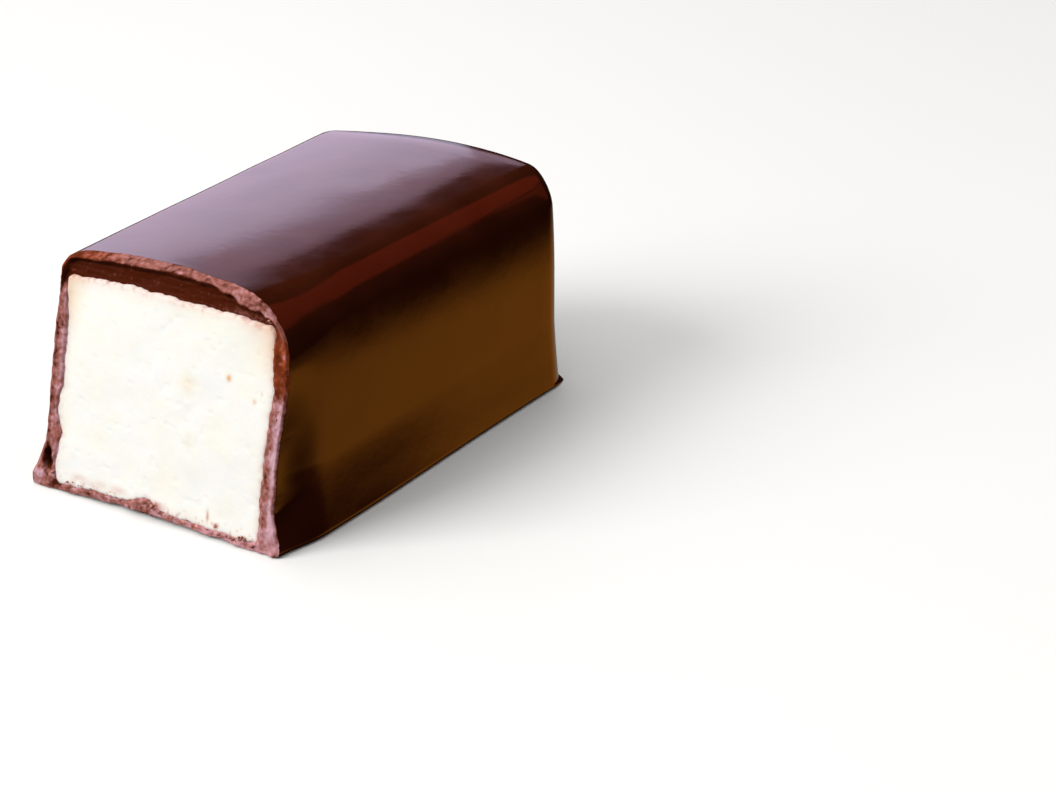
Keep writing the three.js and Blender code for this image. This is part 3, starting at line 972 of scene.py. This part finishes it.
def build_lights(look):
    """The softboxes: two that light the candy, and small, dim ones for its gloss."""
    high, low = LARGE_SHARE * look.sheen_light, (1 - LARGE_SHARE) * look.sheen_light
    ridge, corner = look.ridge_light, CORNER_SHARE * look.ridge_light
    build_softbox("key_softbox", (-30, 34, 0.6), (0.34, 0.34), look.key_light, "#fffdfa")
    build_softbox("overhead_softbox", (0, 86, 0.8), (0.8, 0.8), look.overhead_light, "#ffffff")
    build_softbox("sheen_softbox", (221.2, 15.6, 0.5), (0.185, 0.259), high, "#ffd8f7", 39.7, False)
    build_softbox("low_sheen_softbox", (219.5, 12.8, 0.5), (0.158, 0.178), low, "#e3dfff", diffuse=False)
    build_softbox("ridge_softbox", (151, 35, 0.5), (0.24, 0.175), ridge, "#ff4e30", diffuse=False)
    build_softbox("corner_softbox", (153, 13, 0.5), (0.1, 0.19), corner, "#ff5a38", diffuse=False)
    build_softbox("side_softbox", (82, 24, 0.5), (0.3, 0.12), look.side_light, "#fff4ea", diffuse=False)


def build_room_light():
    """An even, pale room; the chocolate's gloss shows a dim one with a warm ground on its right."""
    world = bpy.data.worlds.new("studio")
    world.use_nodes = True
    bpy.context.scene.world = world
    tree = world.node_tree
    way = add_node(tree, "ShaderNodeTexCoord").outputs["Generated"]
    parts = add_node(tree, "ShaderNodeSeparateXYZ", {0: way})
    # The warm ground starts below the horizon and ends further down and towards the right
    below = add_node(tree, "ShaderNodeMapRange", {0: parts.outputs["Z"], 1: -0.28, 2: -0.345})
    beyond = add_node(tree, "ShaderNodeMapRange", {0: parts.outputs["Z"], 1: -0.62, 2: -0.42})
    beside = add_node(tree, "ShaderNodeMapRange", {0: parts.outputs["X"], 1: 0.88, 2: 0.7})
    near = add_node(tree, "ShaderNodeMath", {0: below, 1: beyond}, operation="MULTIPLY")
    lit = add_node(tree, "ShaderNodeMath", {0: near, 1: beside}, operation="MULTIPLY")
    right = add_node(tree, "ShaderNodeMapRange", {0: parts.outputs["X"], 1: -0.2, 2: 0.3})
    colours = {0: right, 6: opaque(linear("#9a938f")), 7: opaque(linear("#ff9a33"))}
    ground = add_node(tree, "ShaderNodeMix", colours, data_type="RGBA")
    colours = {0: lit, 6: opaque(linear("#140a06")), 7: ground}
    reflected = add_node(tree, "ShaderNodeMix", colours, data_type="RGBA")
    above = add_node(tree, "ShaderNodeMapRange", {0: parts.outputs["Z"], 1: -0.3, 2: 0.3})
    aside = add_node(tree, "ShaderNodeMapRange", {0: parts.outputs["X"], 1: -0.1, 2: 0.6, 3: 1.0, 4: 0.4})
    bright = add_node(tree, "ShaderNodeMath", {0: above, 1: aside}, operation="MULTIPLY")
    colours = {0: bright, 6: opaque(linear("#38322e")), 7: opaque(linear("#dadad9"))}
    around = add_node(tree, "ShaderNodeMix", colours, data_type="RGBA")
    glossy = add_node(tree, "ShaderNodeLightPath").outputs["Is Glossy Ray"]
    colour = add_node(tree, "ShaderNodeMix", {0: glossy, 6: around, 7: reflected}, data_type="RGBA")
    finish_shader(tree, tree.nodes["Background"], {}, {"Color": colour})


def build_camera(look):
    """The camera, turned towards the middle of its view on the floor."""
    camera = bpy.data.cameras.new("camera")
    camera.lens = CAMERA_LENS
    camera.sensor_width = CAMERA_SENSOR
    holder = bpy.data.objects.new("camera", camera)
    bpy.context.scene.collection.objects.link(holder)
    way = direction(CAMERA_AZIMUTH, CAMERA_ELEVATION)
    holder.location = Vector(CAMERA_AIM) * MM + way * look.distance
    holder.rotation_mode = "QUATERNION"
    holder.rotation_quaternion = way.to_track_quat("Z", "Y")
    bpy.context.scene.camera = holder
    bpy.context.scene.view_settings.view_transform = "Standard"


# --------------------------------------------------------------------------------------------------
# Operators and panel
# --------------------------------------------------------------------------------------------------


def place_piece(piece, node):
    """Hangs the piece on the root body, and hides the imported part that it stands for."""
    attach(piece, "root")
    if node:
        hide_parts(node)


class CANDY_OT_coat(bpy.types.Operator):
    """Build the poured chocolate coat with its broken edge"""

    bl_idname = "candy.coat"
    bl_label = "Chocolate Coat"

    def execute(self, context):
        look = context.scene.candy.coat
        rings, marks, broken = coat_surface(look)
        coat = loft("poured_coat", rings, [poured_chocolate(look), snapped_chocolate(look)], broken)
        mark(coat, "pale", marks[:, 0])
        mark(coat, "amber", marks[:, 1])
        place_piece(coat, "chocolate_coat")
        return {"FINISHED"}


class CANDY_OT_filling(bpy.types.Operator):
    """Build the souffle filling with its pored cut face"""

    bl_idname = "candy.filling"
    bl_label = "Souffle Filling"

    def execute(self, context):
        look = context.scene.candy.filling
        rings, marks = filling_surface(look)
        filling = loft("souffle_body", rings, [whipped_souffle(look)])
        mark(filling, "caramel_and_shade", marks[:, 0])
        mark(filling, "cocoa_and_shade", marks[:, 1])
        place_piece(filling, "souffle_filling")
        return {"FINISHED"}


class CANDY_OT_crumbs(bpy.types.Operator):
    """Scatter the crumbs that the cut left along its lower edge"""

    bl_idname = "candy.crumbs"
    bl_label = "Crumbs"

    def execute(self, context):
        look = context.scene.candy.crumbs
        points, faces = crumb_surface(look)
        crumbs = new_object("cut_crumbs", points, faces, [crumb_chocolate(look)])
        place_piece(crumbs, None)
        return {"FINISHED"}


class CANDY_OT_stage(bpy.types.Operator):
    """Set up the floor, the softboxes, the room light and the camera"""

    bl_idname = "candy.stage"
    bl_label = "Stage"

    def execute(self, context):
        look = context.scene.candy.stage
        build_floor(look)
        build_lights(look)
        build_room_light()
        build_camera(look)
        return {"FINISHED"}


class CANDY_PT_pieces(bpy.types.Panel):
    """The candy's pieces and its stage, each with its settings"""

    bl_idname = "CANDY_PT_pieces"
    bl_label = "Souffle Candy"
    bl_space_type = "VIEW_3D"
    bl_region_type = "UI"
    bl_category = "Candy"

    def draw(self, context):
        candy = context.scene.candy
        parts = (
            (CANDY_OT_stage, candy.stage),
            (CANDY_OT_coat, candy.coat),
            (CANDY_OT_filling, candy.filling),
            (CANDY_OT_crumbs, candy.crumbs),
        )
        for operator, settings in parts:
            box = self.layout.box()
            box.operator(operator.bl_idname)
            for name in type(settings).__annotations__:
                box.prop(settings, name)


CLASSES = (
    CandyCoatSettings,
    CandyFillingSettings,
    CandyCrumbSettings,
    CandyStageSettings,
    CandySettings,
    CANDY_OT_coat,
    CANDY_OT_filling,
    CANDY_OT_crumbs,
    CANDY_OT_stage,
    CANDY_PT_pieces,
)


def register():
    for each in CLASSES:
        bpy.utils.register_class(each)
    bpy.types.Scene.candy = PointerProperty(type=CandySettings)


def unregister():
    del bpy.types.Scene.candy
    for each in reversed(CLASSES):
        bpy.utils.unregister_class(each)


def main():
    register()
    bpy.ops.candy.stage()
    bpy.ops.candy.coat()
    bpy.ops.candy.filling()
    bpy.ops.candy.crumbs()


if __name__ == "__main__":
    main()
